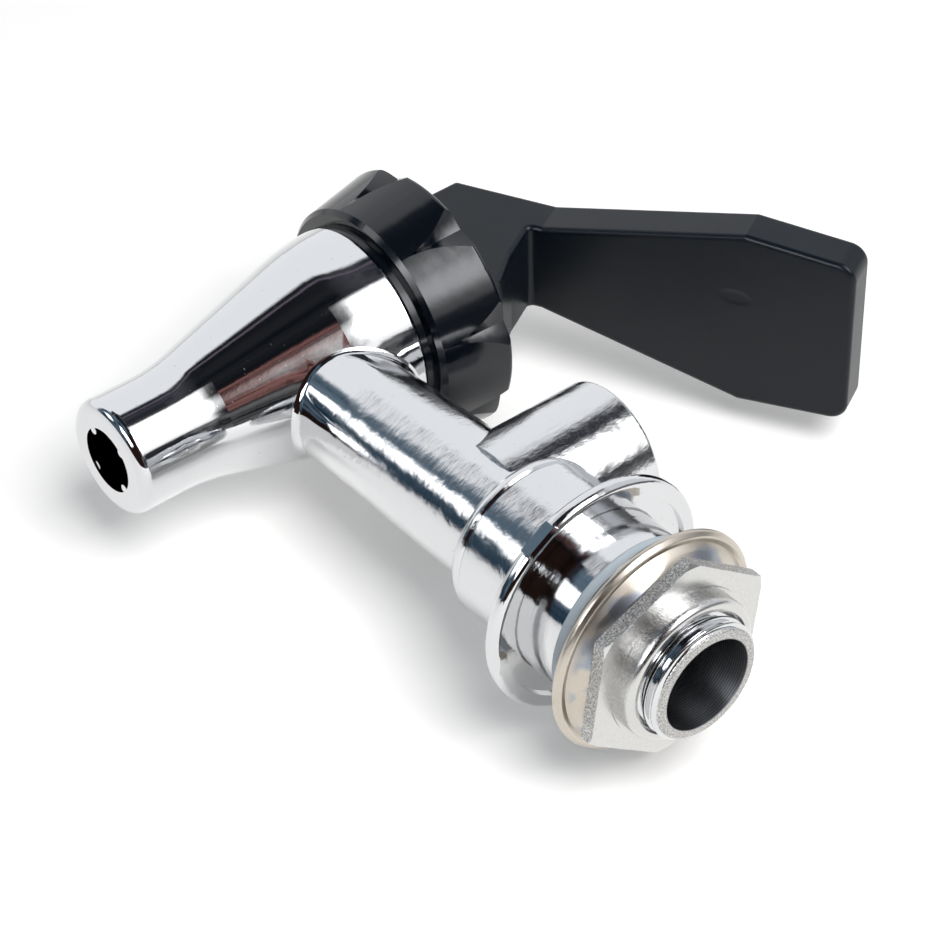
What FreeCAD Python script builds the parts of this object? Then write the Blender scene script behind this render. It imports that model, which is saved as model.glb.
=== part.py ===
import FreeCAD, Part
import math
import os
import Sketcher

# Draw-off tap for a water boiler: chrome casting, black bonnet and lever,
# and the gasket, washer and nut that clamp it to the tank wall.
# The origin is on the shank's axis in the flange's rear face. +Y runs out
# along the shank, +Z runs up the body from the spout to the lever.

os.makedirs("parts", exist_ok=True)
doc = FreeCAD.newDocument("boiler_tap")
sheet = doc.addObject("Spreadsheet::Sheet", "sizes")
Vec = FreeCAD.Vector
row_count = 0


class Size:
    """A length in mm that also knows the sheet expression it comes from."""

    def __init__(self, value, text):
        self.value = value
        self.text = text

    def __add__(self, other):
        other = as_size(other)
        return Size(self.value + other.value, "(%s + %s)" % (self.text, other.text))

    def __sub__(self, other):
        other = as_size(other)
        return Size(self.value - other.value, "(%s - %s)" % (self.text, other.text))

    def __mul__(self, other):
        other = as_size(other)
        return Size(self.value * other.value, "(%s * %s)" % (self.text, other.text))

    def __truediv__(self, other):
        other = as_size(other)
        return Size(self.value / other.value, "(%s / %s)" % (self.text, other.text))

    def __radd__(self, other):
        return as_size(other) + self

    def __rsub__(self, other):
        return as_size(other) - self

    def __rmul__(self, other):
        return as_size(other) * self

    def __neg__(self):
        return Size(-self.value, "(0 - %s)" % self.text)


def as_size(number):
    if isinstance(number, Size):
        return number
    return Size(float(number), "(%s)" % repr(float(number)))


def sine(angle):
    return Size(math.sin(math.radians(angle.value)), "sin(%s)" % angle.text)


def cosine(angle):
    return Size(math.cos(math.radians(angle.value)), "cos(%s)" % angle.text)


def size(name, value, unit_words):
    """Write one driving size into the sheet and hand it back."""
    global row_count
    row_count += 1
    sheet.set("A%d" % row_count, name)
    sheet.set("B%d" % row_count, repr(value))
    sheet.set("C%d" % row_count, unit_words)
    sheet.setAlias("B%d" % row_count, name)
    return Size(float(value), "sizes.%s" % name)


# Shank, flange and collar
reach = size("reach", 75.3, "body axis in front of the flange's rear face")
flange_radius = size("flange_radius", 20.8, "flange rim")
flange_thick = size("flange_thick", 2.8, "flange")
flange_rim = size("flange_rim", 2.6, "raised rim round the recess in the rear face")
flange_recess = size("flange_recess", 0.7, "depth of that recess")
spigot_radius = size("spigot_radius", 14.7, "plain spigot through the jacket")
spigot_long = size("spigot_long", 7.4, "spigot behind the flange")
spigot_line = size("spigot_line", 0.22, "height of the fine line round the spigot")
thread_radius = size("thread_radius", 10.48, "crest of the half inch pipe thread")
thread_pitch = size("thread_pitch", 1.814, "thread")
thread_depth = size("thread_depth", 1.16, "thread")
thread_count = size("thread_count", 9, "thread grooves")
shank_long = size("shank_long", 25.3, "shank behind the flange")
shank_bore = size("shank_bore", 8.2, "water way, radius")
bore_past = size("bore_past", 1.2, "that bore runs on past the gauge port")
collar_radius = size("collar_radius", 14.4, "collar in front of the flange")
collar_long = size("collar_long", 16.4, "collar")
collar_round = size("collar_round", 1.9, "rounded shoulder of the collar")
collar_line = size("collar_line", 0.3, "depth of the line behind the shoulder")

# Arm between collar and body
arm_root_radius = size("arm_root_radius", 9.9, "arm where it meets the body")
arm_root_drop = size("arm_root_drop", 2.0, "arm centre below the shank axis there")
arm_end_radius = size("arm_end_radius", 11.7, "arm where it meets the collar")
arm_fillet = size("arm_fillet", 1.3, "hollow blend between arm and body")
arm_bore = size("arm_bore", 5.4, "water way in the arm, radius")
arm_bore_drop = size("arm_bore_drop", 1.0, "its centre below the shank axis")

# Upright socket for the level gauge
boss_radius = size("boss_radius", 12.2, "gauge boss")
boss_back = size("boss_back", 24.8, "its axis in front of the flange's rear face")
boss_top = size("boss_top", 24.4, "its top above the shank axis")
gauge_radius = size("gauge_radius", 8.0, "gauge socket")
gauge_deep = size("gauge_deep", 13.0, "gauge socket")
gauge_port = size("gauge_port", 3.0, "hole on into the water way, radius")

# Body and spout
tip_down = size("tip_down", 39.7, "spout tip below the shank axis")
tip_radius = size("tip_radius", 10.3, "spout tip")
tip_round = size("tip_round", 1.8, "rounded lip of the tip")
waist_down = size("waist_down", 26.0, "where the cone starts below the axis")
waist_round = size("waist_round", 34.0, "hollow blend between tip and cone")
crown_radius = size("crown_radius", 18.5, "where the cone turns upright, radius")
crown_up = size("crown_up", 5.5, "that place above the axis")
crown_round = size("crown_round", 52.0, "swelling of the body there")
shoulder_radius = size("shoulder_radius", 18.85, "body where it meets the bonnet")
shoulder_round = size("shoulder_round", 0.6, "rounded shoulder of the body")
landing_up = size("landing_up", 12.1, "face the bonnet lands on")
neck_radius = size("neck_radius", 17.2, "neck inside the bonnet")
neck_long = size("neck_long", 5.9, "neck")
outlet_radius = size("outlet_radius", 5.8, "outlet bore at the tip")
outlet_long = size("outlet_long", 17.0, "outlet bore")
seat_radius = size("seat_radius", 5.2, "hole through the valve seat")
seat_lip = size("seat_lip", 0.8, "height of the lip round the seat")
seat_lip_wide = size("seat_lip_wide", 1.3, "width of that lip")
bowl_down = size("bowl_down", 9.0, "bowl floor below the axis")
bowl_floor_radius = size("bowl_floor_radius", 9.6, "bowl floor")
bowl_radius = size("bowl_radius", 13.8, "bowl at the neck")
bowl_flare_up = size("bowl_flare_up", 4.0, "where the bowl stops widening")
rib_radius = size("rib_radius", 0.8, "rounded ribs in the outlet")
rib_deep = size("rib_deep", 1.2, "ribs stand in from the bore wall")
rib_long = size("rib_long", 9.0, "ribs")
rib_sunk = size("rib_sunk", 0.25, "ribs start inside the lip")
rib_turned = size("rib_turned", 45.0, "turn of the ribs, degrees")
nub_wide = size("nub_wide", 7.0, "casting nub on the flange rim")
nub_high = size("nub_high", 0.5, "that nub beyond the rim")
nub_turned = size("nub_turned", 122.0, "that nub round from the top, degrees")

# Bonnet
grip_radius = size("grip_radius", 23.5, "over the lobes at the rear")
grip_front_radius = size("grip_front_radius", 21.2, "front rim of the grip, which widens from there")
grip_lip_radius = size("grip_lip_radius", 18.4, "lip that lands on the body")
grip_lip_high = size("grip_lip_high", 1.2, "that lip")
grip_long = size("grip_long", 14.45, "grip")
grip_chamfer = size("grip_chamfer", 0.8, "front chamfer behind the front face")
grip_round = size("grip_round", 0.8, "rear edge of the grip")
flute_count = size("flute_count", 8, "flutes round the grip")
flute_deep = size("flute_deep", 1.7, "flute at the rear face")
flute_half = size("flute_half", 11.0, "half angle of a flute at the rear, degrees")
flute_turned = size("flute_turned", 19.1, "first flute round from the shank's side, degrees")
flute_start = size("flute_start", 2.1, "flutes fade out this far from the front")
ceiling_up = size("ceiling_up", 1.9, "bonnet's ceiling above the neck")
pocket_radius = size("pocket_radius", 6.6, "spring pocket in the ceiling")
pocket_deep = size("pocket_deep", 2.2, "spring pocket")
bush_radius = size("bush_radius", 4.3, "stem bush")

# Stem, spring and seat cup
stem_radius = size("stem_radius", 2.9, "stem")
stem_eye_up = size("stem_eye_up", 3.3, "stem top above the pin")
stem_collar = size("stem_collar", 4.4, "stem collar, radius")
collar_high = size("collar_high", 1.0, "stem collar")
stem_neck = size("stem_neck", 1.9, "stem between collar and button, radius")
button_radius = size("button_radius", 2.9, "button in the cup")
button_high = size("button_high", 1.4, "button in the cup")
stem_neck_long = size("stem_neck_long", 1.1, "stem between collar and button")
cup_wall = size("cup_wall", 1.2, "seat cup skirt")
cup_floor = size("cup_floor", 4.0, "seat cup floor")
cup_foot = size("cup_foot", 7.7, "seat cup floor, radius")
cup_skirt = size("cup_skirt", 12.4, "seat cup skirt at the top, radius")
ring_thick = size("ring_thick", 0.8, "spring washers")
lower_ring = size("lower_ring", 5.8, "lower spring washer, radius")
wire_radius = size("wire_radius", 0.5, "spring wire")
coil_radius = size("coil_radius", 4.5, "spring, mean radius")
coil_count = size("coil_count", 8, "spring turns")

# Lever and its pin
pin_radius = size("pin_radius", 1.5, "lever pin")
pin_short = size("pin_short", 0.6, "pin ends below the side faces")
pin_up = size("pin_up", 4.0, "pin above the foot, and radius of the toe")
toe_out = size("toe_out", 9.5, "toe centre behind the stem, sets the lift")
heel_out = size("heel_out", 13.0, "lever's heel in front of the stem")
heel_up = size("heel_up", 17.0, "top of the heel above the foot")
throat_out = size("throat_out", 5.4, "inner corner behind the stem")
waist_out = size("waist_out", 9.3, "hollow of the neck behind the stem")
waist_up = size("waist_up", 10.9, "that hollow above the foot")
lever_slope = size("lever_slope", 27.5, "rise of the paddle, degrees")
lever_long = size("lever_long", 75.0, "top face of the lever")
paddle_thick = size("paddle_thick", 7.5, "paddle")
base_wide = size("base_wide", 17.5, "lever over the bonnet")
flare_at = size("flare_at", 19.0, "flare starts this far along the top face")
crease_at = size("crease_at", 55.5, "flare ends this far along the top face")
paddle_wide = size("paddle_wide", 35.4, "paddle at its widest")
end_wide = size("end_wide", 32.6, "paddle at its end")
lever_round = size("lever_round", 1.0, "edges of the lever")
lever_corner = size("lever_corner", 3.4, "corners of the paddle")
slot_gap = size("slot_gap", 0.35, "slot beside the stem")
slot_half = size("slot_half", 5.2, "half length of the slot")

# Tank gasket, dished washer and back nut
gasket_radius = size("gasket_radius", 15.9, "gasket")
gasket_thick = size("gasket_thick", 4.0, "gasket")
washer_radius = size("washer_radius", 19.7, "dished washer")
washer_rim = size("washer_rim", 1.1, "half thickness of its rolled rim")
washer_high = size("washer_high", 4.6, "dished washer")
washer_flat = size("washer_flat", 14.6, "its raised middle, radius")
washer_sheet = size("washer_sheet", 1.2, "its sheet")
washer_dish = size("washer_dish", 2.2, "width of the slope round its middle")
washer_step = size("washer_step", 0.3, "slope ends this far inside the rim's faces")
washer_roll = size("washer_roll", 0.8, "rounding of the rolled rim")
nut_flats = size("nut_flats", 32.2, "across flats")
nut_thick = size("nut_thick", 2.4, "hexagon")
nut_corner = size("nut_corner", 0.8, "cut on the hexagon's corners")
nut_turned = size("nut_turned", 52.0, "turn of the hexagon as photographed, degrees")
nut_step = size("nut_step", 13.3, "low step at the collar's foot, radius")
nut_step_high = size("nut_step_high", 0.35, "that step")
nut_collar = size("nut_collar", 12.7, "round collar, radius")
nut_collar_long = size("nut_collar_long", 3.4, "round collar")
nut_collar_round = size("nut_collar_round", 1.3, "collar's outer edge")
nut_mouth = size("nut_mouth", 0.5, "cut round the nut's thread")

# Clearances
run_gap = size("run_gap", 0.05, "running fit, radial")
thread_gap = size("thread_gap", 0.12, "over the thread crest, radial")
seat_gap = size("seat_gap", 0.1, "between pieces that rest on each other")
doc.recompute()


# Sketches and features shared by the pieces

def new_body(name):
    body = doc.addObject("PartDesign::Body", name)
    body.Label = name
    return body


def origin_part(body, role):
    for item in body.Origin.OriginFeatures:
        if item.Role == role:
            return item
    raise ValueError(role)


def new_sketch(body, name, role, off=None, tilt=None, spin=None):
    """A sketch on an origin plane, moved off it, tilted or spun in it."""
    sketch = body.newObject("Sketcher::SketchObject", name)
    sketch.AttachmentSupport = [(origin_part(body, role), "")]
    sketch.MapMode = "FlatFace"
    if tilt is not None or spin is not None:
        about = Vec(0, 0, 1) if tilt is None else Vec(1, 0, 0)
        angle = spin if tilt is None else tilt
        sketch.AttachmentOffset = FreeCAD.Placement(Vec(), FreeCAD.Rotation(about, 1))
        sketch.setExpression("AttachmentOffset.Rotation.Angle", angle.text)
    if off is not None:
        for axis, shift in off.items():
            sketch.setExpression("AttachmentOffset.Base.%s" % axis, as_size(shift).text)
    return sketch


def pin_down(sketch, kind, index, corner, value):
    """Fix one coordinate of a sketch point to a size."""
    value = as_size(value)
    number = sketch.addConstraint(Sketcher.Constraint(kind, -1, 1, index, corner, value.value))
    sketch.setExpression("Constraints[%d]" % number, value.text)


def outline(body, name, role, points, off=None, tilt=None, spin=None):
    """A closed outline through the points given as pairs of sizes."""
    sketch = new_sketch(body, name, role, off, tilt, spin)
    points = [(as_size(a), as_size(b)) for a, b in points]
    count = len(points)
    for index in range(count):
        a, b = points[index], points[(index + 1) % count]
        start, stop = Vec(a[0].value, a[1].value, 0), Vec(b[0].value, b[1].value, 0)
        sketch.addGeometry(Part.LineSegment(start, stop))
    for index in range(count):
        sketch.addConstraint(Sketcher.Constraint("Coincident", index, 2, (index + 1) % count, 1))
    for index, point in enumerate(points):
        pin_down(sketch, "DistanceX", index, 1, point[0])
        pin_down(sketch, "DistanceY", index, 1, point[1])
    return sketch


def disc(body, name, role, radius, centre=(0, 0), off=None, hole=None):
    """A round outline, with a round hole where one is given."""
    sketch = new_sketch(body, name, role, off)
    for index, edge in enumerate([radius] if hole is None else [radius, hole]):
        edge = as_size(edge)
        at = Vec(as_size(centre[0]).value, as_size(centre[1]).value, 0)
        sketch.addGeometry(Part.Circle(at, Vec(0, 0, 1), edge.value))
        number = sketch.addConstraint(Sketcher.Constraint("Radius", index, edge.value))
        sketch.setExpression("Constraints[%d]" % number, edge.text)
        pin_down(sketch, "DistanceX", index, 3, centre[0])
        pin_down(sketch, "DistanceY", index, 3, centre[1])
    return sketch


def extrude(body, name, sketch, length, kind="Pad", back=False, middle=False):
    feature = body.newObject("PartDesign::" + kind, name)
    feature.Profile = sketch
    feature.setExpression("Length", as_size(length).text)
    feature.Reversed = back
    feature.Midplane = middle
    return feature


def turn(body, name, sketch, role="Z_Axis", kind="Revolution"):
    feature = body.newObject("PartDesign::" + kind, name)
    feature.Profile = sketch
    feature.ReferenceAxis = (origin_part(body, role), [""])
    feature.Angle = 360.0
    return feature


def loft(body, name, first, second, kind="AdditiveLoft"):
    feature = body.newObject("PartDesign::" + kind, name)
    feature.Profile = first
    feature.Sections = [second]
    feature.Ruled = True
    return feature


def pattern_round(body, name, originals, count, role="Z_Axis"):
    feature = body.newObject("PartDesign::PolarPattern", name)
    feature.Originals = originals
    feature.Axis = (origin_part(body, role), [""])
    feature.Angle = 360.0
    feature.setExpression("Occurrences", count.text)
    body.Tip = feature
    return feature


def expect_change(body, feature, sign):
    """Stop if a feature added or removed nothing."""
    doc.recompute()
    change = feature.Shape.Volume - feature.BaseFeature.Shape.Volume
    if change * sign <= 1e-6:
        raise RuntimeError("%s of %s changed nothing" % (feature.Name, body.Label))


def round_off(body, name, radius, wanted, kind="Fillet"):
    """Round or chamfer the edges of the last feature that wanted() picks."""
    doc.recompute()
    base = body.Tip
    names = []
    for number, edge in enumerate(base.Shape.Edges, 1):
        if wanted(edge):
            names.append("Edge%d" % number)
    if not names:
        raise RuntimeError("%s of %s found no edge" % (name, body.Label))
    feature = body.newObject("PartDesign::" + kind, name)
    feature.Base = (base, names)
    feature.setExpression("Radius" if kind == "Fillet" else "Size", as_size(radius).text)
    doc.recompute()
    return feature


def ring_edge(axis, at, radius):
    """A test for a round edge about an axis, at a height and radius."""
    at, radius = as_size(at).value, as_size(radius).value

    def wanted(edge):
        if not isinstance(edge.Curve, Part.Circle):
            return False
        centre = edge.Curve.Center
        height = {"x": centre.x, "y": centre.y, "z": centre.z}[axis]
        return abs(height - at) < 1e-3 and abs(edge.Curve.Radius - radius) < 1e-3
    return wanted


# Heights that several pieces share

neck_top = landing_up + neck_long
ceiling = neck_top + ceiling_up
bonnet_foot = landing_up + seat_gap
bonnet_top = bonnet_foot + grip_long
foot_up = bonnet_top + 1.5 * seat_gap
pin_height = foot_up + pin_up
seat_face = seat_lip - bowl_down
cup_base = seat_face + seat_gap
button_up = cup_base + 1.2
collar_up = button_up + button_high + stem_neck_long
ring_up = collar_up + collar_high + 0.5 * seat_gap
spring_low = ring_up + ring_thick
pocket_top = ceiling + pocket_deep
spring_high = pocket_top - seat_gap - ring_thick


# Casting: spout, body, arm, collar, flange and threaded shank in one piece

casting = new_body("tap_body")
flange_front = reach - flange_thick
collar_front = flange_front - collar_long

shape = outline(casting, "body_outline", "YZ_Plane", [
    (0, -tip_down), (tip_radius, -tip_down), (tip_radius, -waist_down),
    (crown_radius, crown_up), (shoulder_radius, landing_up),
    (neck_radius, landing_up), (neck_radius, neck_top), (0, neck_top)])
turn(casting, "body_turned", shape)
round_off(casting, "tip_blend", waist_round, ring_edge("z", -waist_down, tip_radius))
round_off(casting, "crown_swell", crown_round, ring_edge("z", crown_up, crown_radius))
round_off(casting, "tip_lip", tip_round, ring_edge("z", -tip_down, tip_radius))

root = disc(casting, "arm_root", "XZ_Plane", arm_root_radius, (0, -arm_root_drop))
end = disc(casting, "arm_end", "XZ_Plane", arm_end_radius, off={"z": -(collar_front + collar_round * 2)})
expect_change(casting, loft(casting, "arm", root, end), 1)


def arm_seam(edge):
    """The seam where the arm leaves the body's cone."""
    box = edge.BoundBox
    return box.YMin > 8.0 and box.YMax < collar_front.value - 3.0 and box.ZLength > 3.0 and box.XLength > 3.0


round_off(casting, "arm_blend", arm_fillet, arm_seam)
round_off(casting, "shoulder_edge", shoulder_round, ring_edge("z", landing_up, shoulder_radius))

ring = disc(casting, "collar_ring", "XZ_Plane", collar_radius, off={"z": -collar_front})
expect_change(casting, extrude(casting, "collar", ring, collar_long, back=True), 1)
round_off(casting, "collar_shoulder", collar_round, ring_edge("y", collar_front, collar_radius))

ring = disc(casting, "boss_ring", "XY_Plane", boss_radius, (0, reach - boss_back))
expect_change(casting, extrude(casting, "boss", ring, boss_top), 1)

ring = disc(casting, "flange_ring", "XZ_Plane", flange_radius, off={"z": -flange_front})
expect_change(casting, extrude(casting, "flange", ring, flange_thick, back=True), 1)
edge_turn = 0.42 * flange_thick
round_off(casting, "flange_front_edge", edge_turn, ring_edge("y", flange_front, flange_radius))
round_off(casting, "flange_rear_edge", edge_turn, ring_edge("y", reach, flange_radius))

nub = outline(casting, "nub_outline", "XZ_Plane", [
    (-0.5 * nub_wide, flange_radius - 1.5), (0.5 * nub_wide, flange_radius - 1.5),
    (0.42 * nub_wide, flange_radius + nub_high), (-0.42 * nub_wide, flange_radius + nub_high)],
    off={"z": -(flange_front + 0.3 * flange_thick)}, spin=-nub_turned)
expect_change(casting, extrude(casting, "nub", nub, 0.66 * flange_thick, back=True), 1)

ring = disc(casting, "recess_ring", "XZ_Plane", flange_radius - flange_rim, off={"z": flange_recess - reach})
expect_change(casting, extrude(casting, "flange_recess_cut", ring, flange_recess, kind="Pocket"), -1)

ring = disc(casting, "spigot_ring", "XZ_Plane", spigot_radius, off={"z": flange_recess - reach})
expect_change(casting, extrude(casting, "spigot", ring, flange_recess + spigot_long, back=True), 1)
round_off(casting, "spigot_edge", 0.5, ring_edge("y", reach + spigot_long, spigot_radius))
ring = disc(casting, "line_ring", "XZ_Plane", spigot_radius + spigot_line, off={"z": -(reach + 0.6)})
expect_change(casting, extrude(casting, "spigot_line_ring", ring, 2 * spigot_line, back=True), 1)

ring = disc(casting, "shank_ring", "XZ_Plane", thread_radius, off={"z": -(reach + spigot_long - 1)})
expect_change(casting, extrude(casting, "shank", ring, shank_long - spigot_long + 1, back=True), 1)
round_off(casting, "shank_chamfer", 0.85 * thread_depth,
          ring_edge("y", reach + shank_long, thread_radius), kind="Chamfer")

groove_at = reach + shank_long - thread_pitch
vee = outline(casting, "thread_vee", "YZ_Plane", [
    (groove_at - 0.40 * thread_pitch, thread_radius + 0.01), (groove_at, thread_radius - thread_depth),
    (groove_at + 0.40 * thread_pitch, thread_radius + 0.01)])
groove = turn(casting, "thread_groove", vee, "Y_Axis", "Groove")
expect_change(casting, groove, -1)
threads = casting.newObject("PartDesign::LinearPattern", "thread_grooves")
threads.Originals = [groove]
threads.Direction = (origin_part(casting, "Y_Axis"), [""])
threads.Reversed = True
threads.setExpression("Length", (thread_pitch * (thread_count - 1)).text)
threads.setExpression("Occurrences", thread_count.text)
casting.Tip = threads
doc.recompute()

line_at = collar_front + collar_round + 0.7
vee = outline(casting, "collar_vee", "YZ_Plane", [
    (line_at - 0.45, collar_radius + 0.01), (line_at, collar_radius - collar_line),
    (line_at + 0.45, collar_radius + 0.01)])
expect_change(casting, turn(casting, "collar_line_groove", vee, "Y_Axis", "Groove"), -1)

bowl = outline(casting, "bowl_outline", "YZ_Plane", [
    (0, neck_top + 1), (bowl_radius, neck_top + 1), (bowl_radius, bowl_flare_up),
    (bowl_floor_radius, -bowl_down), (seat_radius + seat_lip_wide, -bowl_down),
    (seat_radius + 0.7 * seat_lip_wide, seat_face), (seat_radius, seat_face),
    (seat_radius, -(tip_down - outlet_long)), (outlet_radius, -(tip_down - outlet_long + 1.5)),
    (outlet_radius, -tip_down - 1), (0, -tip_down - 1)])
expect_change(casting, turn(casting, "bowl_and_outlet", bowl, kind="Groove"), -1)

rib_out = outlet_radius - rib_deep + rib_radius
rib = disc(casting, "rib_ring", "XY_Plane", rib_radius,
           (rib_out * cosine(rib_turned), rib_out * sine(rib_turned)), off={"z": rib_sunk - tip_down})
rib_pad = extrude(casting, "rib", rib, rib_long)
expect_change(casting, rib_pad, 1)
rib_total = size("rib_total", 4, "ribs in the outlet")
pattern_round(casting, "ribs", [rib_pad], rib_total)
doc.recompute()

ring = disc(casting, "shank_bore_ring", "XZ_Plane", shank_bore, off={"z": -(reach - boss_back - gauge_port - bore_past)})
bore_long = shank_long + boss_back + gauge_port + bore_past + 1
expect_change(casting, extrude(casting, "shank_bore_cut", ring, bore_long, kind="Pocket"), -1)
ring = disc(casting, "arm_bore_ring", "XZ_Plane", arm_bore, (0, -arm_bore_drop), off={"z": -0.4 * bowl_radius})
expect_change(casting, extrude(casting, "arm_bore_cut", ring, reach - boss_back, kind="Pocket"), -1)
ring = disc(casting, "gauge_ring", "XY_Plane", gauge_radius, (0, reach - boss_back), off={"z": boss_top - gauge_deep})
expect_change(casting, extrude(casting, "gauge_socket", ring, gauge_deep + 1, kind="Pocket", back=True), -1)
ring = disc(casting, "gauge_port_ring", "XY_Plane", gauge_port, (0, reach - boss_back))
expect_change(casting, extrude(casting, "gauge_port_cut", ring, boss_top, kind="Pocket", back=True), -1)
round_off(casting, "gauge_mouth", 0.6, ring_edge("z", boss_top, gauge_radius), kind="Chamfer")
round_off(casting, "boss_rim", 0.5, ring_edge("z", boss_top, boss_radius))


# Bonnet: moulded nut with eight flutes that screws down over the body's neck

bonnet = new_body("bonnet")
shape = outline(bonnet, "bonnet_outline", "XZ_Plane", [
    (neck_radius + run_gap, bonnet_foot), (grip_lip_radius, bonnet_foot),
    (grip_lip_radius + 0.2 * grip_lip_high, bonnet_foot + grip_lip_high),
    (grip_front_radius - grip_chamfer, bonnet_foot + 1.1 * grip_lip_high),
    (grip_front_radius, bonnet_foot + 1.1 * grip_lip_high + grip_chamfer), (grip_radius, bonnet_top),
    (bush_radius + run_gap, bonnet_top), (bush_radius + run_gap, pocket_top), (pocket_radius, pocket_top),
    (pocket_radius, ceiling), (neck_radius + run_gap, ceiling)])
turn(bonnet, "bonnet_turned", shape)
round_off(bonnet, "grip_rear_edge", grip_round, ring_edge("z", bonnet_top, grip_radius))


def flute_corner(radius, half_angle, side):
    return (side * radius * sine(half_angle), radius * cosine(half_angle))


rear_out = grip_radius + 1.0
mouth = 1.4
rear = outline(bonnet, "flute_rear", "XY_Plane", [
    (0, grip_radius - flute_deep), flute_corner(rear_out, flute_half * mouth, 1), (0, rear_out + 1.0),
    flute_corner(rear_out, flute_half * mouth, -1)], off={"z": bonnet_top + 0.01}, spin=-flute_turned)
fade = 0.12
front = outline(bonnet, "flute_front", "XY_Plane", [
    (0, grip_front_radius), flute_corner(rear_out, flute_half * fade, 1), (0, rear_out + 1.0),
    flute_corner(rear_out, flute_half * fade, -1)], off={"z": bonnet_foot + flute_start}, spin=-flute_turned)
flute = loft(bonnet, "flute", rear, front, "SubtractiveLoft")
expect_change(bonnet, flute, -1)
pattern_round(bonnet, "flutes", [flute], flute_count)
doc.recompute()


# Bush: plain guide for the stem in the middle of the bonnet

bush = new_body("stem_bush")
ring = disc(bush, "bush_ring", "XY_Plane", bush_radius, off={"z": pocket_top}, hole=stem_radius + run_gap)
extrude(bush, "bush_pad", ring, bonnet_top - pocket_top - seat_gap)


# Spring washers above and below the spring

top_ring = new_body("upper_spring_washer")
ring = disc(top_ring, "washer_ring", "XY_Plane", pocket_radius - 3 * seat_gap, off={"z": spring_high},
            hole=stem_radius + 2 * seat_gap)
extrude(top_ring, "washer_pad", ring, ring_thick)

low_ring = new_body("lower_spring_washer")
ring = disc(low_ring, "washer_ring", "XY_Plane", lower_ring, off={"z": ring_up}, hole=stem_radius + run_gap)
extrude(low_ring, "washer_pad", ring, ring_thick)


# Stem: turned rod with an eye for the pin, a collar under the spring
# and a button that snaps into the seat cup

stem = new_body("stem")
stem_top = pin_height + stem_eye_up
shape = outline(stem, "stem_outline", "XZ_Plane", [
    (0, button_up), (button_radius - 0.4, button_up), (button_radius, button_up + 0.4),
    (button_radius, button_up + button_high), (stem_neck, button_up + button_high),
    (stem_neck, collar_up), (stem_collar, collar_up), (stem_collar, collar_up + collar_high),
    (stem_radius, collar_up + collar_high), (stem_radius, stem_top - 0.7), (stem_radius - 0.7, stem_top),
    (0, stem_top)])
turn(stem, "stem_turned", shape)
eye = disc(stem, "eye_ring", "YZ_Plane", pin_radius + run_gap, (0, pin_height))
expect_change(stem, extrude(stem, "eye", eye, 4 * stem_radius, kind="Pocket", middle=True), -1)


# Seat cup: silicone bell that closes the seat, clamped by its rim

cup = new_body("seat_cup")
cup_rim = neck_radius - 3 * seat_gap
rim_low = neck_top + seat_gap
rim_high = ceiling - seat_gap
socket = seat_gap
shape = outline(cup, "cup_outline", "XZ_Plane", [
    (0, cup_base), (cup_foot - 0.5, cup_base), (cup_foot, cup_base + 0.5), (cup_foot, cup_base + cup_floor),
    (cup_skirt, neck_top - 2.0), (cup_skirt, rim_low), (cup_rim, rim_low), (cup_rim, rim_high),
    (cup_skirt - cup_wall, rim_high), (cup_skirt - cup_wall, neck_top - 2.0),
    (cup_foot - cup_wall, cup_base + cup_floor), (cup_foot - cup_wall, collar_up - socket),
    (stem_neck + socket, collar_up - socket), (stem_neck + socket, button_up + button_high + socket),
    (button_radius + socket, button_up + button_high + socket),
    (button_radius + socket, button_up - socket), (0, button_up - socket)])
turn(cup, "cup_turned", shape)


# Spring: one unbroken wire wound round the stem, closed turns at both ends

def coil_point(share, low, high, radius, turns, wire):
    """A point of the helix and its direction, share runs from 0 to 1."""
    closed = 1.0
    tight = 2 * wire + 0.45
    open_pitch = (high - low - 2 * closed * tight) / (turns - 2 * closed)
    at = share * turns
    if at < closed:
        height, pitch = at * tight, tight
    elif at > turns - closed:
        height, pitch = high - low - (turns - at) * tight, tight
    else:
        height, pitch = closed * tight + (at - closed) * open_pitch, open_pitch
    angle = 2 * math.pi * at
    point = Vec(radius * math.cos(angle), radius * math.sin(angle), low + height)
    along = Vec(-math.sin(angle), math.cos(angle), pitch / (2 * math.pi * radius))
    return point, along.normalize()


def arc_between(start, along, stop):
    """The arc that leaves start in a direction and reaches stop."""
    chord = stop - start
    half = chord.getAngle(along) / 2.0
    rise = chord.Length / 2.0 * math.tan(half)
    side = along - chord * (along.dot(chord) / chord.dot(chord))
    middle = start + chord * 0.5 + side.normalize() * rise
    return Part.Arc(start, middle, stop).toShape()


def biarc(start, along, stop, onward):
    """Two arcs that join two points and keep both directions."""
    gap = stop - start
    a = 2.0 * (along.dot(onward) - 1.0)
    b = -2.0 * gap.dot(along + onward)
    c = gap.dot(gap)
    reach_out = (-b - math.sqrt(b * b - 4 * a * c)) / (2 * a)
    if reach_out < 0:
        reach_out = (-b + math.sqrt(b * b - 4 * a * c)) / (2 * a)
    joint = (start + along * reach_out + stop - onward * reach_out) * 0.5
    back = arc_between(stop, onward * -1.0, joint)
    return [arc_between(start, along, joint), back]


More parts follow.
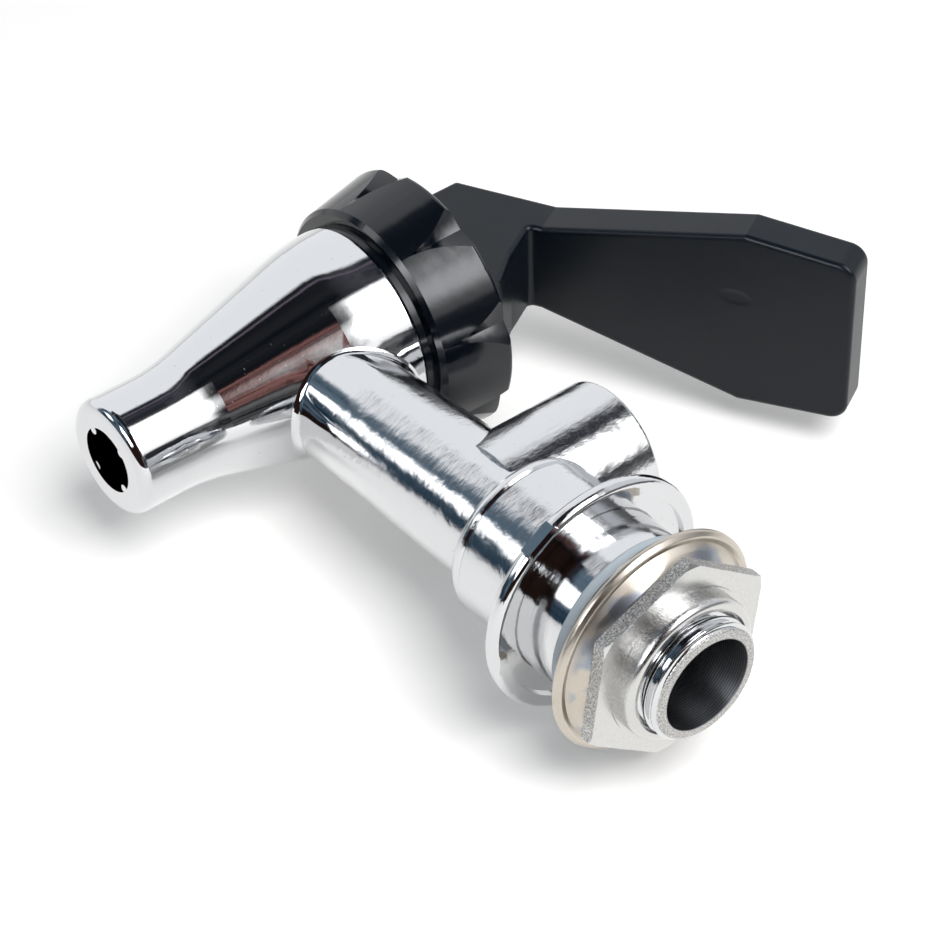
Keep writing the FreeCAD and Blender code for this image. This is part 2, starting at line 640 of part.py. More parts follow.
def wound_wire():
    low, high = spring_low.value + wire_radius.value + 0.05, spring_high.value - wire_radius.value - 0.05
    turns = int(coil_count.value)
    steps = 4 * turns
    points = [coil_point(n / steps, low, high, coil_radius.value, turns, wire_radius.value)
              for n in range(steps + 1)]
    for n in range(1, steps):
        ahead, behind = points[n + 1][0], points[n - 1][0]
        rise = (ahead.z - behind.z) / 2.0 / (math.pi / 2 * coil_radius.value)
        flat = Vec(points[n][1].x, points[n][1].y, 0).normalize()
        points[n] = (points[n][0], (flat + Vec(0, 0, rise)).normalize())
    edges = []
    for (start, along), (stop, onward) in zip(points, points[1:]):
        edges += biarc(start, along, stop, onward)
    path = Part.Wire(Part.__sortEdges__(edges))
    start, along = points[0]
    ring_shape = Part.Wire(Part.Circle(start, along, wire_radius.value).toShape())
    samples = [coil_point(n / 400.0, low, high, coil_radius.value, turns, wire_radius.value)[0]
               for n in range(401)]
    apart = 400 // turns // 2
    least = min((samples[n] - samples[k]).Length for n in range(401) for k in range(n + apart, 401))
    print("least gap between the spring's turns: %.2f mm" % (least - 2 * wire_radius.value))
    return path.makePipeShell([ring_shape], True, False)


spring = doc.addObject("Part::Feature", "stem_spring")
spring.Label = "stem_spring"
spring.Shape = wound_wire()


# Lever: moulded in one piece, a wedge over the bonnet and a flared paddle

lever = new_body("lever")
rise = sine(lever_slope)
run = cosine(lever_slope)
heel_top = foot_up + heel_up
end_out = lever_long * run - heel_out
end_top = heel_top + lever_long * rise
under_out = end_out + paddle_thick * rise
under_top = end_top - paddle_thick * run
throat_top = under_top - (under_out - throat_out) * rise / run
toe_tip = toe_out + pin_up * 0.866
toe_top = pin_height + pin_up * 0.5
shape = new_sketch(lever, "lever_side", "YZ_Plane")
corners = [(-heel_out, foot_up), (toe_out, foot_up), (toe_tip, toe_top), (waist_out, foot_up + waist_up),
           (throat_out, throat_top), (under_out, under_top), (end_out, end_top), (-heel_out, heel_top)]
for index, (a, b) in enumerate(zip(corners, corners[1:] + corners[:1])):
    start, stop = Vec(a[0].value, a[1].value, 0), Vec(b[0].value, b[1].value, 0)
    if index == 1:
        middle = Vec(toe_out.value + pin_up.value * 0.5, pin_height.value - pin_up.value * 0.866, 0)
        shape.addGeometry(Part.Arc(start, middle, stop))
    else:
        shape.addGeometry(Part.LineSegment(start, stop))
for index, corner in enumerate(corners):
    pin_down(shape, "DistanceX", index, 1, corner[0])
    pin_down(shape, "DistanceY", index, 1, corner[1])
    shape.addConstraint(Sketcher.Constraint("Coincident", index, 2, (index + 1) % len(corners), 1))
pin_down(shape, "DistanceX", 1, 3, toe_out)
extrude(lever, "lever_blank", shape, paddle_wide, middle=True)

half_base, half_wide, half_end = base_wide * 0.5, paddle_wide * 0.5, end_wide * 0.5
far = 200.0
for side, word in ((1, "right"), (-1, "left")):
    cut = outline(lever, "plan_" + word, "XY_Plane", [
        (side * half_base, -far), (side * half_base, flare_at), (side * half_wide, crease_at),
        (side * half_end, lever_long + 0.01), (side * half_end, far), (side * far, far),
        (side * far, -far)], tilt=lever_slope)
    cut.setExpression("AttachmentOffset.Base.y", (-heel_out).text)
    cut.setExpression("AttachmentOffset.Base.z", heel_top.text)
    expect_change(lever, extrude(lever, "plan_cut_" + word, cut, far * 2, kind="Pocket", middle=True), -1)


def paddle_corner(edge):
    """The four short corners where the paddle's end meets its sides."""
    if not isinstance(edge.Curve, Part.Line) or abs(edge.Length - paddle_thick.value) > 0.4:
        return False
    middle = edge.CenterOfMass
    return abs(middle.x) > half_end.value - 0.5 and middle.z > under_top.value - 1.0


round_off(lever, "paddle_corners", lever_corner, paddle_corner)


def outer_edge(edge):
    """Every edge but those of the flat foot and the toe."""
    box = edge.BoundBox
    if box.ZMax < toe_top.value + 0.01:
        return False
    return not (box.ZMin < foot_up.value + 0.01 and abs(box.YMax + heel_out.value) > 0.01)


round_off(lever, "lever_edges", lever_round, outer_edge)
slot = outline(lever, "slot_outline", "XY_Plane", [
    (-(stem_radius + slot_gap), -slot_half), (stem_radius + slot_gap, -slot_half),
    (stem_radius + slot_gap, slot_half), (-(stem_radius + slot_gap), slot_half)], off={"z": foot_up - 0.5})
expect_change(lever, extrude(lever, "slot", slot, pin_up + stem_eye_up + 2.0, kind="Pocket", back=True), -1)
hole = disc(lever, "pin_hole_ring", "YZ_Plane", pin_radius + 0.01, (0, pin_height))
expect_change(lever, extrude(lever, "pin_hole", hole, base_wide + 2, kind="Pocket", middle=True), -1)


# Pin: plain rod across the lever, through the eye of the stem

pin = new_body("lever_pin")
ring = disc(pin, "pin_ring", "YZ_Plane", pin_radius, (0, pin_height))
extrude(pin, "pin_pad", ring, base_wide - 2 * pin_short, middle=True)


# Gasket, washer and nut, drawn along Z and then laid along the shank

gasket = new_body("tank_gasket")
ring = disc(gasket, "gasket_ring", "XY_Plane", gasket_radius, hole=thread_radius + thread_gap)
extrude(gasket, "gasket_pad", ring, gasket_thick)
round_off(gasket, "gasket_edges", 0.6, lambda edge: abs(edge.BoundBox.XMax - gasket_radius.value) < 1e-3
          and edge.BoundBox.ZLength < 1e-6)

washer = new_body("dished_washer")
rim_low, rim_up = as_size(0), 2 * washer_rim
shape = outline(washer, "washer_outline", "XZ_Plane", [
    (thread_radius + thread_gap, washer_high - washer_sheet), (washer_flat, washer_high - washer_sheet),
    (washer_flat + washer_dish, rim_low + washer_step), (washer_radius - washer_roll, rim_low),
    (washer_radius, rim_low + washer_roll), (washer_radius, rim_up - washer_roll),
    (washer_radius - washer_roll, rim_up), (washer_flat + washer_sheet + washer_dish, rim_up - washer_step),
    (washer_flat + 0.7 * washer_sheet, washer_high), (thread_radius + thread_gap, washer_high)])
turn(washer, "washer_turned", shape)
round_off(washer, "washer_rim_edges", 0.6 * washer_roll, lambda edge: edge.BoundBox.ZLength < 1e-6
          and edge.BoundBox.XMax > washer_radius.value - 1.2 * washer_roll.value)

nut = new_body("back_nut")
corner_radius = nut_flats / (2 * math.cos(math.pi / 6))
hexagon = outline(nut, "hexagon", "XY_Plane",
                  [(corner_radius * math.cos(math.pi / 3 * n), corner_radius * math.sin(math.pi / 3 * n))
                   for n in range(6)])
extrude(nut, "nut_plate", hexagon, nut_thick)
corner_fall = 2 * nut_corner * math.tan(math.pi / 6)
corner_cut = outline(nut, "corner_outline", "XZ_Plane", [
    (corner_radius - nut_corner, nut_thick), (corner_radius + nut_corner, nut_thick),
    (corner_radius + nut_corner, nut_thick - corner_fall)])
expect_change(nut, turn(nut, "corner_cut", corner_cut, kind="Groove"), -1)
ring = disc(nut, "nut_step_ring", "XY_Plane", nut_step, off={"z": nut_thick})
expect_change(nut, extrude(nut, "nut_step_pad", ring, nut_step_high), 1)
ring = disc(nut, "nut_collar_ring", "XY_Plane", nut_collar, off={"z": nut_thick})
expect_change(nut, extrude(nut, "nut_collar_pad", ring, nut_collar_long), 1)
round_off(nut, "nut_collar_edge", nut_collar_round, ring_edge("z", nut_thick + nut_collar_long, nut_collar))
ring = disc(nut, "nut_bore_ring", "XY_Plane", thread_radius + thread_gap)
expect_change(nut, extrude(nut, "nut_bore", ring, nut_thick + nut_collar_long + 1, kind="Pocket", back=True), -1)
round_off(nut, "nut_mouth_cut", nut_mouth,
          ring_edge("z", nut_thick + nut_collar_long, thread_radius + thread_gap), kind="Chamfer")


# Places of the pieces, then the files

gasket_at = spigot_long + 0.5 * seat_gap
washer_at = gasket_at + gasket_thick + 0.5 * seat_gap
nut_at = washer_at + washer_high + 0.5 * seat_gap
on_body_axis = [casting, bonnet, bush, top_ring, low_ring, stem, cup, lever, pin]
for piece in on_body_axis:
    piece.setExpression("Placement.Base.y", (-reach).text)
spring.Placement = FreeCAD.Placement(Vec(0, -reach.value, 0), FreeCAD.Rotation())
for piece, place, twist in ((gasket, gasket_at, 0), (washer, washer_at, 0), (nut, nut_at, nut_turned.value)):
    laid = FreeCAD.Rotation(Vec(1, 0, 0), -90).multiply(FreeCAD.Rotation(Vec(0, 0, 1), twist))
    piece.Placement = FreeCAD.Placement(Vec(0, 0, 0), laid)
    piece.setExpression("Placement.Base.y", place.text)
doc.recompute()

for item in doc.Objects:
    if "Invalid" in item.State or "Error" in item.State:
        raise RuntimeError("%s is %s" % (item.Name, item.State))
pieces = on_body_axis + [spring, gasket, washer, nut]
for piece in pieces:
    if piece.Shape.isNull() or not piece.Shape.isValid() or len(piece.Shape.Solids) != 1:
        raise RuntimeError("%s has no sound solid" % piece.Label)
for piece in pieces:
    piece.Shape.exportStep("parts/%s.step" % piece.Label)
    print("%-22s %8.1f mm3" % (piece.Label, piece.Shape.Volume))
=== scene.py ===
import math
import bmesh
import bpy
from mathutils import Matrix, Vector


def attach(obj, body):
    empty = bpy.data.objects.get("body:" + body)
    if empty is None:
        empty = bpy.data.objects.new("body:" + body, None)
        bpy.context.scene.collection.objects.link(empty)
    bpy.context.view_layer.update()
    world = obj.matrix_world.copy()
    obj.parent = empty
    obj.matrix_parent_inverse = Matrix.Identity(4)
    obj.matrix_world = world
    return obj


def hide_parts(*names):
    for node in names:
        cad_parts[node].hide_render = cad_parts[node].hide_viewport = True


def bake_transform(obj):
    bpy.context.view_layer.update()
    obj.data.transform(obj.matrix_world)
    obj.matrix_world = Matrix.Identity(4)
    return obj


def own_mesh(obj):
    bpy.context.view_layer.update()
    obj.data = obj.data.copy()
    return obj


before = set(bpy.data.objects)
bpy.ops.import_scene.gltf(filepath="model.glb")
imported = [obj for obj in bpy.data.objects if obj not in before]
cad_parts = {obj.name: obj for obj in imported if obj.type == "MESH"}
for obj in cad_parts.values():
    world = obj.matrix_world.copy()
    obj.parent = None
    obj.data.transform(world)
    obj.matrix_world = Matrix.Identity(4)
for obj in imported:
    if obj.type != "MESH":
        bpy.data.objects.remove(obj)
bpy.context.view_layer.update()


# The body of the tap: one brass casting with spout, side arm, gauge boss, flange and threaded shank.
# It is polished and plated in bright chrome. The turned cone is the smoothest; the arm and collar keep
# the ripple of the polishing mop, and the spigot a little of it. The water way and the sawn end stay dull.


class Wire:
    """One output of a node, with sums written as Python writes them."""

    def __init__(self, nodes, socket):
        self.nodes = nodes
        self.socket = socket

    def sum(self, operation, first, second=None):
        given = {0: first, 1: second}
        return self.nodes.node(
            "ShaderNodeMath",
            {"operation": operation},
            {key: value for key, value in given.items() if value is not None},
        )

    def __add__(self, other):
        return self.sum("ADD", self, other)

    def __radd__(self, other):
        return self.sum("ADD", other, self)

    def __sub__(self, other):
        return self.sum("SUBTRACT", self, other)

    def __rsub__(self, other):
        return self.sum("SUBTRACT", other, self)

    def __mul__(self, other):
        return self.sum("MULTIPLY", self, other)

    def __rmul__(self, other):
        return self.sum("MULTIPLY", other, self)

    def __truediv__(self, other):
        return self.sum("DIVIDE", self, other)

    def __pow__(self, other):
        return self.sum("POWER", self, other)

    def least(self, other):
        return self.sum("MINIMUM", self, other)

    def most(self, other):
        return self.sum("MAXIMUM", self, other)

    def of(self, operation, other=None):
        return self.sum(operation, self, other)

    def step(self, low, high):
        """0 at low, 1 at high, and smooth between. Low may be the larger one."""
        return self.nodes.node(
            "ShaderNodeMapRange",
            {"interpolation_type": "SMOOTHSTEP"},
            {"Value": self, "From Min": low, "From Max": high},
        )

    def band(self, middle, half, soft):
        """1 within half of the middle, and 0 beyond a soft edge."""
        return (self - middle).of("ABSOLUTE").step(half + soft, half)

    def output(self, name):
        return Wire(self.nodes, self.socket.node.outputs[name])


class Nodes:
    """The node tree of a material or of the room."""

    # The two colour inputs of a Mix node share their names with its number inputs, so they go by place.
    first_colour = 6
    second_colour = 7

    def __init__(self, owner, place):
        owner.use_nodes = True
        self.tree = owner.node_tree
        self.tree.nodes.clear()
        self.place = self.node("ShaderNodeTexCoord").output(place)

    def node(self, kind, settings=None, sockets=None):
        made = self.tree.nodes.new(kind)
        for key, value in (settings or {}).items():
            setattr(made, key, value)
        for key, value in (sockets or {}).items():
            self.feed(made.inputs[key], value)
        shown = [out for out in made.outputs if out.enabled]
        return Wire(self, shown[0]) if shown else None

    def feed(self, socket, value):
        if isinstance(value, Wire):
            self.tree.links.new(value.socket, socket)
        elif isinstance(value, tuple) and len(value) == 3 and socket.type == "RGBA":
            socket.default_value = (*value, 1.0)
        else:
            socket.default_value = value

    def noise(self, scale, detail, roughness, place=None):
        return self.node(
            "ShaderNodeTexNoise",
            {},
            {"Vector": place or self.place, "Scale": scale, "Detail": detail, "Roughness": roughness},
        )

    def stretched(self, x, y, z):
        """The place on the piece, stretched along its axes."""
        return self.node("ShaderNodeMapping", {}, {"Vector": self.place, "Scale": (x, y, z)})

    def colours(self, amount, first, second):
        """The first colour where the amount is 0, the second where it is 1."""
        sockets = {"Factor": amount, self.first_colour: first, self.second_colour: second}
        return self.node("ShaderNodeMix", {"data_type": "RGBA"}, sockets)

    def parts(self):
        """The x, y and z of the place."""
        split = self.node("ShaderNodeSeparateXYZ", {}, {"Vector": self.place})
        return split.output("X"), split.output("Y"), split.output("Z")


class Finish(Nodes):
    """One finish: a material with its nodes. Lengths in it are metres on the piece."""

    def __init__(self, name, **settings):
        self.material = bpy.data.materials.new(name)
        super().__init__(self.material, "Object")
        self.shader = self.node("ShaderNodeBsdfPrincipled").socket.node
        self.node("ShaderNodeOutputMaterial", {}, {"Surface": Wire(self, self.shader.outputs[0])})
        self.set(**settings)

    def set(self, **sockets):
        for key, value in sockets.items():
            self.feed(self.shader.inputs[key.replace("_", " ")], value)

    def bump(self, height, distance, strength, normal=None):
        sockets = {"Height": height, "Distance": distance, "Strength": strength}
        if normal is not None:
            sockets["Normal"] = normal
        return self.node("ShaderNodeBump", {}, sockets)


def off_shank(x, z):
    """How far a place is from the shank's axis."""
    return (x * x + z * z) ** 0.5


def dress(node, finish):
    """Give a piece of the frame its finish."""
    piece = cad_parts[node]
    piece.data.materials.clear()
    piece.data.materials.append(finish.material)


bore_radius = 0.0082
bore_end_y = -0.0300
sawn_end_y = 0.0249
sawn_radius = 0.0098
groove_y = 0.0212
groove_radius = 0.0097
arm_start_y = -0.0560
flange_front_y = -0.0035
flange_back_y = -0.0020
tool_marks = 14000.0
thread_marks = 7800.0
chrome = Finish("bright_chrome", Metallic=1.0)
x, y, z = chrome.parts()
out = off_shank(x, z)
in_bore = out.step(bore_radius + 0.00015, bore_radius) * y.step(bore_end_y, bore_end_y + 0.0005)
sawn_end = y.step(sawn_end_y - 0.0003, sawn_end_y) * out.step(sawn_radius + 0.0002, sawn_radius)
dull = in_bore.most(sawn_end)
mopped = y.step(arm_start_y, arm_start_y + 0.006) * (1.0 - 0.7 * y.step(flange_front_y, flange_back_y))
ripple = chrome.noise(1.0, 5.0, 0.7, chrome.stretched(500.0, 1500.0, 500.0))
swell = chrome.noise(130.0, 3.0, 0.5)
speck = chrome.noise(2300.0, 1.0, 0.5).step(0.74, 0.80)
rough_cut = chrome.noise(3600.0, 3.0, 0.7)
turned = (y * tool_marks + 3.0 * rough_cut).of("SINE")
at_groove = y.step(groove_y, groove_y + 0.0004) * out.step(groove_radius - 0.0003, groove_radius)
rings = (y * thread_marks).of("SINE") * at_groove
plated = chrome.colours(speck, (0.67, 0.675, 0.685), (0.46, 0.46, 0.47))
worn = chrome.colours(rough_cut.step(0.3, 0.7), (0.22, 0.215, 0.21), (0.78, 0.77, 0.75))
bored = chrome.colours(turned.step(-0.4, 0.8), (0.19, 0.195, 0.21), (0.34, 0.35, 0.375))
relief = chrome.bump(swell, 0.0008, 0.02 + 0.33 * mopped)
relief = chrome.bump(ripple, 0.00007, 0.08 + 0.55 * mopped, relief)
relief = chrome.bump(rings, 0.00008, 0.8, relief)
relief = chrome.bump(speck, -0.00002, 0.15, relief)
relief = chrome.bump(turned * in_bore, 0.00005, 0.5, relief)
relief = chrome.bump(rough_cut, 0.00016, 0.9 * sawn_end, relief)
chrome.set(
    Base_Color=chrome.colours(in_bore, chrome.colours(sawn_end, plated, worn), bored),
    Roughness=0.025 + 0.1 * speck + 0.3 * dull,
    Normal=relief,
)
dress("tap_body", chrome)


# The bonnet: a moulded nut with eight scooped flutes that screws over the top of the casting.
# Its plastic is glossy black and the scoops are polished in the mould.
gloss_black = Finish("bonnet_black", IOR=1.5)
grain = gloss_black.noise(1600.0, 2.0, 0.5)
flow = gloss_black.noise(140.0, 2.0, 0.5)
gloss_black.set(
    Base_Color=gloss_black.colours(grain, (0.0010, 0.0024, 0.0050), (0.0025, 0.0045, 0.0080)),
    Roughness=0.10 + 0.06 * grain,
    Normal=gloss_black.bump(grain, 0.00001, 0.25, gloss_black.bump(flow, 0.0006, 0.1)),
)
dress("bonnet", gloss_black)


# The lever: a paddle moulded in satin black plastic, hung on a pin through its foot. The paddle is thick,
# so a small oval of its broad face has sunk where the plastic cooled last. The face rises to the front.
sink_x = 0.0047
sink_y = -0.0366
sink_z = 0.0622
sink_half_width = 0.0017
sink_half_length = 0.0034
face_run = 0.89
face_rise = 0.46
satin_black = Finish("lever_black", IOR=1.5, Specular_IOR_Level=0.28)
x, y, z = satin_black.parts()
grain = satin_black.noise(2600.0, 3.0, 0.6)
flow = satin_black.noise(60.0, 3.0, 0.5)
across = (x - sink_x) / sink_half_width
along = ((y - sink_y) * face_run + (z - sink_z) * face_rise) / sink_half_length
sunk = (across * across + along * along).step(1.0, 0.0)
relief = satin_black.bump(flow, 0.0012, 0.15)
relief = satin_black.bump(sunk, -0.00025, 0.4, relief)
satin_black.set(
    Base_Color=satin_black.colours(grain, (0.0015, 0.0035, 0.0070), (0.0030, 0.0060, 0.0105)),
    Roughness=0.25 + 0.07 * grain + 0.10 * flow,
    Normal=satin_black.bump(grain, 0.000015, 0.3, relief),
)
dress("lever", satin_black)


# Pin, stem and spring with its washers: turned and drawn stainless steel, bright but not polished.
# The pin joins the lever's foot to the stem's eye, and the washers sit on the stem at the spring's ends.
steel = Finish("turned_steel", Metallic=1.0)
streak = steel.noise(900.0, 2.0, 0.6)
steel.set(
    Base_Color=steel.colours(streak, (0.55, 0.55, 0.54), (0.68, 0.68, 0.67)),
    Roughness=0.24 + 0.12 * streak,
)
for node in ("lever_pin", "stem", "upper_spring_washer", "lower_spring_washer", "stem_spring"):
    dress(node, steel)


# The bush that guides the stem: a plain ring of natural white plastic.
# It sits in a pocket in the middle of the bonnet.
white_plastic = Finish("bush_white", Roughness=0.4, IOR=1.5)
cloud = white_plastic.noise(300.0, 2.0, 0.5)
white_plastic.set(Base_Color=white_plastic.colours(cloud, (0.82, 0.81, 0.77), (0.88, 0.87, 0.83)))
dress("stem_bush", white_plastic)


# Seat cup and tank gasket: soft blue grey silicone, a little uneven in colour.
# The cup is moulded as a bell round the stem's lower end, and the gasket is a flat ring on the shank.
silicone = Finish("silicone", IOR=1.43)
cloud = silicone.noise(240.0, 3.0, 0.5)
silicone.set(
    Base_Color=silicone.colours(cloud, (0.40, 0.47, 0.53), (0.53, 0.59, 0.64)),
    Roughness=0.36 + 0.1 * cloud,
)
for node in ("seat_cup", "tank_gasket"):
    dress(node, silicone)


# The spring and the seat cup are held at their upper ends, under the bonnet, and on the real tap they give
# way as the stem rises.
# Each is replaced by a merged, smoothly shaded copy of its own triangles; the spring hangs on the casing's
# body and the cup's place is written into its mesh.
same_place = 0.000001
sharp_edge = math.radians(30)


def stand_in(node, name, finish):
    """A piece in place of a node, from the same triangles, merged and smoothly shaded."""
    solid = bmesh.new()
    solid.from_mesh(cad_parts[node].data)
    bmesh.ops.remove_doubles(solid, verts=solid.verts, dist=same_place)
    mesh = bpy.data.meshes.new(name)
    solid.to_mesh(mesh)
    solid.free()
    if "custom_normal" in mesh.attributes:
        mesh.attributes.remove(mesh.attributes["custom_normal"])
    mesh.shade_smooth()
    mesh.set_sharp_from_angle(angle=sharp_edge)
    mesh.materials.clear()
    mesh.materials.append(finish.material)
    piece = bpy.data.objects.new(name, mesh)
    bpy.context.collection.objects.link(piece)
    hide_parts(node)
    return piece


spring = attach(stand_in("stem_spring", "wound_spring", steel), "casing")
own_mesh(spring)
cup = stand_in("seat_cup", "silicone_bell", silicone)
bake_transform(cup)


# The dished washer behind the gasket: pressed steel with a thin yellow passivated coat, blue in places.
# The press has drawn fine radial ticks round the foot of the dish.
tick_count = 300
ticks_radius = 0.0175
bluish_radius = 0.0163
passivated = Finish("passivated_steel", Metallic=1.0)
x, y, z = passivated.parts()
out = off_shank(x, z)
cloud = passivated.noise(95.0, 4.0, 0.6)
grit = passivated.noise(3000.0, 2.0, 0.6)
bluish = passivated.noise(150.0, 2.0, 0.5).step(0.5, 0.62) * out.band(bluish_radius, 0.0007, 0.0012)
ticks = (z.of("ARCTAN2", x) * tick_count).of("SINE").step(0.2, 0.9) * out.band(ticks_radius, 0.0003, 0.0003)
coat = passivated.colours(cloud, (0.43, 0.375, 0.305), (0.64, 0.59, 0.52))
coat = passivated.colours(bluish, coat, (0.26, 0.30, 0.37))
passivated.set(
    Base_Color=passivated.colours(0.3 * grit, coat, (0.74, 0.71, 0.66)),
    Roughness=0.24 + 0.12 * cloud,
    Normal=passivated.bump(ticks, 0.00004, 0.35, passivated.bump(grit, 0.00002, 0.3)),
)
dress("dished_washer", passivated)


# The back nut that clamps the tap in the wall: a stamped hexagon with a turned collar, nickel plated.
# Its faces are satin, and the stamped flats are torn and grainy, the collar's side less so.
collar_radius = 0.0134
nickel = Finish("nickel_plate", Metallic=1.0)
x, y, z = nickel.parts()
normal = nickel.node("ShaderNodeNewGeometry").output("Normal")
along_shank = nickel.node("ShaderNodeSeparateXYZ", {}, {"Vector": normal}).output("Y").of("ABSOLUTE")
beyond_collar = off_shank(x, z).step(collar_radius, collar_radius + 0.0006)
flat = along_shank.step(0.6, 0.2) * (0.4 + 0.6 * beyond_collar)
torn = nickel.noise(3400.0, 3.0, 0.7)
fine = nickel.noise(5200.0, 2.0, 0.6)
dent = nickel.noise(420.0, 2.0, 0.5).step(0.70, 0.78)
plate = nickel.colours(fine, (0.49, 0.485, 0.475), (0.76, 0.755, 0.74))
rubbed = nickel.colours(torn.step(0.42, 0.62), (0.12, 0.12, 0.12), (0.74, 0.73, 0.71))
relief = nickel.bump(fine, 0.00003, 0.35)
relief = nickel.bump(torn, 0.00016, 0.9 * flat, relief)
relief = nickel.bump(dent, -0.00010, 0.5, relief)
nickel.set(
    Base_Color=nickel.colours(0.7 * flat, plate, rubbed),
    Roughness=0.17 + 0.10 * fine + 0.08 * flat,
    Normal=relief,
)
dress("back_nut", nickel)


# The studio: the tap lies on its side on a white sheet, so the sheet stands across the frame's X axis.
# The camera, mirrors and glass see it a little whiter. From underneath the sheet is clear.
sheet_x = -0.0234
sheet_half = 1.2
sheet_colour = (0.97, 0.965, 0.95)
sheet_lift = 0.21
grid = bmesh.new()
bmesh.ops.create_grid(grid, x_segments=1, y_segments=1, size=sheet_half)
bmesh.ops.rotate(grid, verts=grid.verts, cent=(0, 0, 0), matrix=Matrix.Rotation(math.pi / 2, 3, "Y"))
bmesh.ops.translate(grid, verts=grid.verts, vec=(sheet_x, 0, 0))
mesh = bpy.data.meshes.new("white_sheet")
grid.to_mesh(mesh)
grid.free()
sheet = bpy.data.objects.new("white_sheet", mesh)
bpy.context.collection.objects.link(sheet)
white_paper = bpy.data.materials.new("white_paper")
paper = Nodes(white_paper, "Object")
ray = paper.node("ShaderNodeLightPath")
seen = ray.output("Is Camera Ray").most(ray.output("Is Glossy Ray")).most(ray.output("Is Transmission Ray"))
matt = paper.node("ShaderNodeBsdfDiffuse", {}, {"Color": sheet_colour})
lift = paper.node("ShaderNodeEmission", {}, {"Strength": sheet_lift * seen})
lit = paper.node("ShaderNodeAddShader", {}, {0: matt, 1: lift})
through = paper.node("ShaderNodeBsdfTransparent")
behind = paper.node("ShaderNodeNewGeometry").output("Backfacing")
both = paper.node("ShaderNodeMixShader", {}, {"Fac": behind, 1: lit, 2: through})
paper.node("ShaderNodeOutputMaterial", {}, {"Surface": both})
sheet.data.materials.append(white_paper)

# The camera stands where the photograph was taken from, with a long lens. It looks down at the tap from
# the boiler's side.
camera_place = (0.3733, 0.2946, -0.2601)
camera_looks = (-0.661, -0.5872, 0.4673)
camera_right = (-0.0145, 0.6326, 0.7744)
sensor_width = 36.0
photo_pixels = 930
focal_pixels = 3500
camera = bpy.data.objects.new("camera", bpy.data.cameras.new("camera"))
bpy.context.collection.objects.link(camera)
looking = Vector(camera_looks).normalized()
upward = Vector(camera_right).normalized().cross(looking).normalized()
rightward = looking.cross(upward).normalized()
facing = Matrix((rightward, upward, -looking)).transposed()
camera.matrix_world = Matrix.Translation(camera_place) @ facing.to_4x4()
camera.data.sensor_width = sensor_width
camera.data.lens = focal_pixels / photo_pixels * sensor_width
camera.data.clip_start = 0.01
camera.data.clip_end = 10.0
bpy.context.scene.camera = camera
bpy.context.scene.view_settings.view_transform = "Standard"


# A soft panel overhead, a little towards the boiler, lights the sheet and the matt pieces. It casts the
# short shadow and doesn't show in the chrome.
panel_towards = Vector((1.0, 0.60, -0.06)).normalized()
panel_distance = 1.2
panel_side = 0.65
panel_light = 10.0
panel = bpy.data.lights.new("overhead_panel", "AREA")
panel.shape = "SQUARE"
panel.size = panel_side
panel.energy = panel_light * math.pi * panel_side**2
stand = bpy.data.objects.new("overhead_panel", panel)
bpy.context.collection.objects.link(stand)
across = Vector((0, 0, 1)).cross(panel_towards).normalized()
facing = Matrix((across, panel_towards.cross(across), panel_towards)).transposed()
stand.matrix_world = Matrix.Translation(panel_towards * panel_distance) @ facing.to_4x4()
stand.visible_camera = False
stand.visible_glossy = False


# The room, by direction: a pale backdrop beyond the spout, a large soft box over the shank and two small
# lamps low down, with a dark room between them. Turn is the angle from overhead towards the boiler, in
# degrees, and z is the share of the direction that points to the lever's end.
world = bpy.data.worlds.new("room")
bpy.context.scene.world = world
room = Nodes(world, "Generated")
x, y, z = room.parts()
turn = y.of("ARCTAN2", x) * (180 / math.pi)
patchy = room.noise(3.2, 4.0, 0.6).step(0.38, 0.62)
streaky = room.noise(15.0, 4.0, 0.7).step(0.38, 0.56)

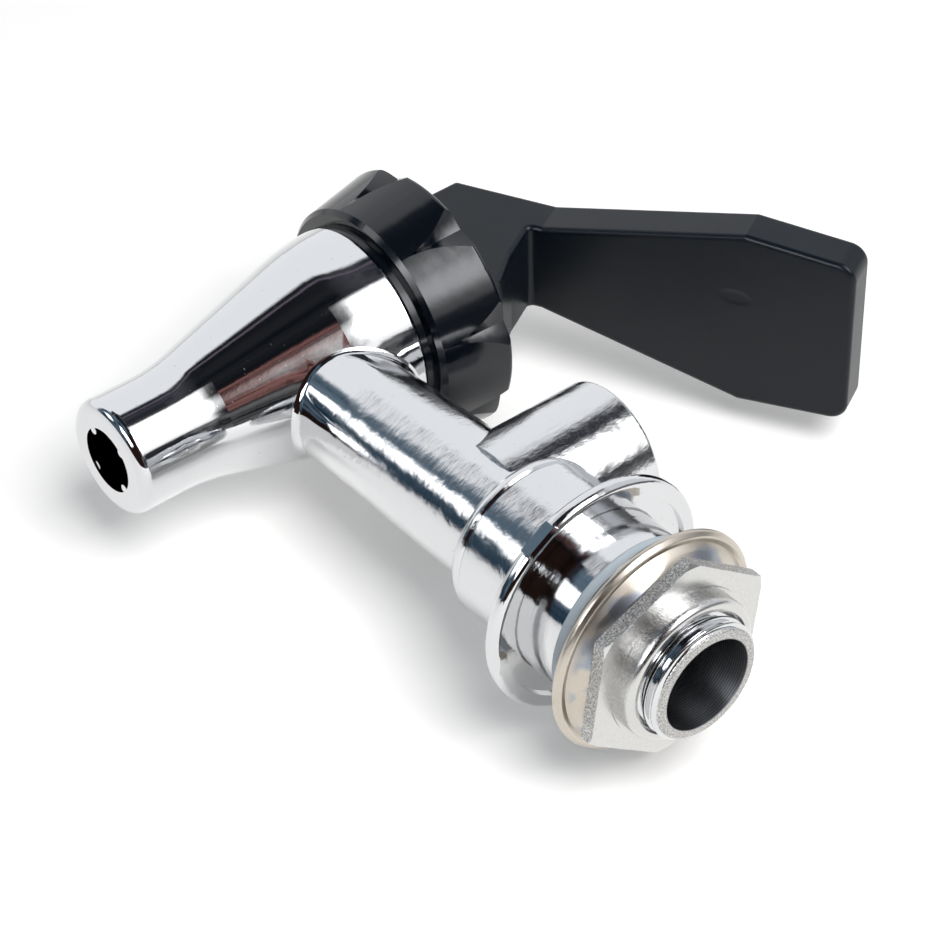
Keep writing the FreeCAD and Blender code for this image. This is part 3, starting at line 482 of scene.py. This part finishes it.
# Where each thing of the room is: 1 on it and 0 beside it.
backdrop_edge = -33.0 + 13.0 * z.step(0.05, 0.30)
backdrop_foot = 0.0067 * turn - 0.029
backdrop = (backdrop_edge - turn).step(-2.5, 2.5) * (z - backdrop_foot).step(-0.04, 0.06)
under_sheet = x.step(0.0, -0.02)
seam = (turn - backdrop_edge).band(8.0, 0.8, 1.2) * z.band(0.12, 0.32, 0.1)
ceiling = z.step(0.54, 0.66) * turn.step(75.0, 50.0)
grey_side = turn.step(64.0, 70.0) * patchy
cool_side = z.step(-0.15, -0.25) * turn.step(30.0, 10.0)
brown_side = z.step(-0.15, -0.3) * turn.step(10.0, 30.0)
warm_wall = turn.band(46.0, 16.0, 6.0) * z.band(-0.09, 0.05, 0.03) * streaky
box_foot = (0.0004 * (turn - 44.0) ** 2.0 - 0.03).least(0.05)
box_glow = turn.band(38.0, 26.0, 4.0) * (z - box_foot).step(-0.07, 0.07) * z.step(0.62, 0.54)
large_box = turn.band(36.0, 10.0, 17.0) * (z - box_foot).step(0.02, 0.18) * z.step(0.56, 0.40)
small_box = turn.band(-48.0, 8.0, 5.0) * z.band(-0.69, 0.07, 0.05)
low_strip = turn.band(18.0, 22.0, 6.0) * z.band(-0.76, 0.08, 0.05)
lamps = large_box.most(low_strip).most(0.22 * small_box)

# The lamps reach their full level only in mirrors, and the camera sees white.
ray = room.node("ShaderNodeLightPath")
light = room.colours(patchy, (0.006, 0.008, 0.011), (0.018, 0.020, 0.024))
for where, colour in (
    (z.step(0.05, 0.35), room.colours(patchy, (0.025, 0.028, 0.035), (0.09, 0.095, 0.11))),
    (grey_side, (0.20, 0.20, 0.20)),
    (cool_side, room.colours(patchy, (0.016, 0.036, 0.062), (0.15, 0.21, 0.27))),
    (brown_side, (0.022, 0.012, 0.010)),
    (seam, (0.14, 0.12, 0.155)),
    (warm_wall, (0.26, 0.125, 0.115)),
    (ceiling, (0.80, 0.82, 0.86)),
    (backdrop.most(under_sheet), (1.08, 1.10, 1.13)),
    ((0.9 * box_glow).most(small_box), (1.5, 1.5, 1.5)),
    (lamps * ray.output("Is Glossy Ray"), (8.0, 8.1, 8.3)),
    (ray.output("Is Camera Ray"), (1.0, 1.0, 1.0)),
):
    light = room.colours(where, light, colour)
on_matt_pieces = 1.0 - 0.5 * ray.output("Is Diffuse Ray")
glow = room.node("ShaderNodeBackground", {}, {"Color": light, "Strength": on_matt_pieces})
room.node("ShaderNodeOutputWorld", {}, {"Surface": glow})
